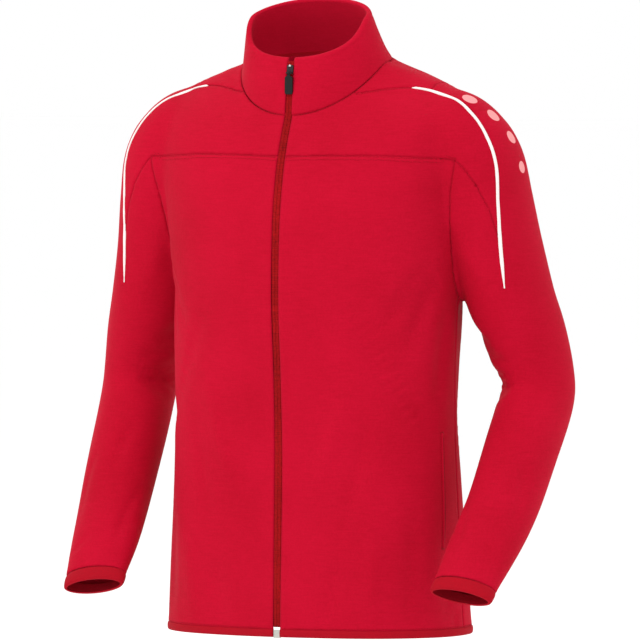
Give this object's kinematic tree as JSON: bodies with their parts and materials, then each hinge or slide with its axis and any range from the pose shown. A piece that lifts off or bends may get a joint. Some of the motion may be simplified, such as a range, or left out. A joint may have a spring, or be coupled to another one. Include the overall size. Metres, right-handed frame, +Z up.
{
  "type": "track_jacket",
  "caption": "A worn, hollow red track jacket with a full zip, a stand collar, white shoulder piping, bound cuffs and hem, and side pockets.",
  "frame": {"origin": "the middle of the neck, level with the inner ends of the shoulders", "axes": "+Z up, the front faces -Y, the wearer's left is +X"},
  "size_m": [0.63, 0.2647, 0.7749],
  "materials": {
    "cloth": "brushed polyester knit",
    "binding": "ribbed stretch binding",
    "zip": "woven tape with a nylon coil",
    "piping": "satin cord piping",
    "black_metal": "semi-gloss",
    "black_pull": "satin",
    "box_metal": "satin"
  },
  "bodies": {
    "jacket": {"front_right": "cloth", "front_left": "cloth", "yoke_right": "cloth", "yoke_left": "cloth", "back": "cloth", "sleeve_right": "cloth", "sleeve_left": "cloth", "collar": "cloth", "cuff_binding_right": "binding", "cuff_binding_left": "binding", "hem_binding": "binding", "zip_tape_right": "zip", "zip_tape_left": "zip", "zip_slider": "black_metal", "zip_box": "box_metal", "piping_right": "piping", "piping_left": "piping", "pocket_welt_right": "cloth", "pocket_welt_left": "cloth"},
    "pull_tab": {"zip_pull": "black_pull"}
  },
  "joints": [
    {"name": "pull_swing", "type": "hinge", "parent": "jacket", "child": "pull_tab", "pos_m": [0, -0.08423, -0.01391], "axis": [-1, 0, 0], "range_deg": [0, 150]}
  ]
}
